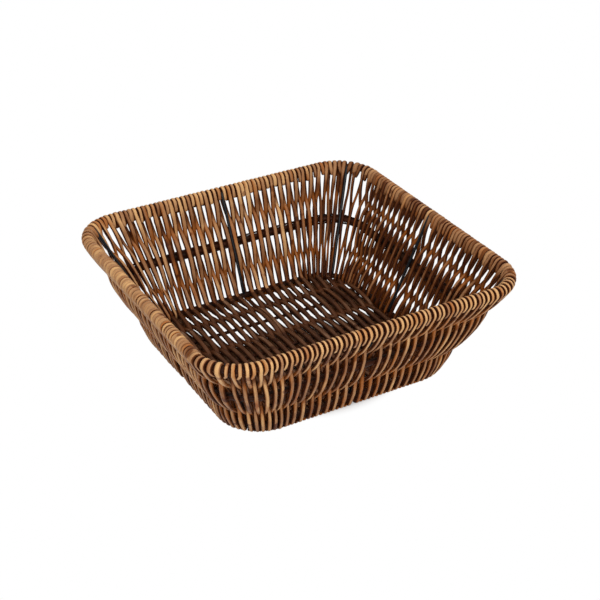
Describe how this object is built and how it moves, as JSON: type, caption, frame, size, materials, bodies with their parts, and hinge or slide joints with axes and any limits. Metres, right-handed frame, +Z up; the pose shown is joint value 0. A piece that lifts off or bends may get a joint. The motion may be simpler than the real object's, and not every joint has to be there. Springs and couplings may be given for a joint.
{
  "type": "rattan basket",
  "caption": "Low square tray basket with flared walls, rounded corners and an open top, woven from round rattan strands over a frame of rods and thin steel wires.",
  "frame": {"origin": "centre of the basket's outline, on the floor it stands on", "axes": "+X along the longer side of the rim, to the right of someone who stands in front of the basket; -Y towards the front; +Z up, out of the open top"},
  "size_m": [0.35, 0.338, 0.1182],
  "materials": {
    "rattan": "satin stained round rattan strands, brown with golden highlights",
    "rattan_dark": "satin stained round rattan strands, dark chocolate brown",
    "frame_rod": "dark stained rattan rod, almost black",
    "upright_wire": "semi-gloss blue-black lacquered steel wire"
  },
  "bodies": {
    "root": {"rim_rod": "frame_rod", "mid_rail": "frame_rod", "base_ring": "frame_rod", "upright_right": "upright_wire", "upright_back_right": "upright_wire", "upright_back": "upright_wire", "upright_back_left": "upright_wire", "upright_left": "upright_wire", "upright_front_left": "upright_wire", "upright_front": "upright_wire", "upright_front_right": "upright_wire", "base_rod_front": "frame_rod", "base_rod_middle": "frame_rod", "base_rod_back": "frame_rod", "right_weave_back_half": "rattan_dark", "back_right_corner_weave_on_right": "rattan", "back_right_corner_weave_on_back": "rattan", "back_weave_right_half": "rattan", "left_weave_back_half": "rattan", "back_left_corner_weave_on_left": "rattan", "back_left_corner_weave_on_back": "rattan", "back_weave_left_half": "rattan", "left_weave_front_half": "rattan", "front_left_corner_weave_on_left": "rattan", "front_left_corner_weave_on_front": "rattan", "front_weave_left_half": "rattan", "right_weave_front_half": "rattan_dark", "front_right_corner_weave_on_right": "rattan", "front_right_corner_weave_on_front": "rattan", "front_weave_right_half": "rattan", "base_weave_left": "rattan_dark", "base_weave_middle_left": "rattan_dark", "base_weave_middle_right": "rattan_dark", "base_weave_right": "rattan_dark"}
  },
  "joints": []
}
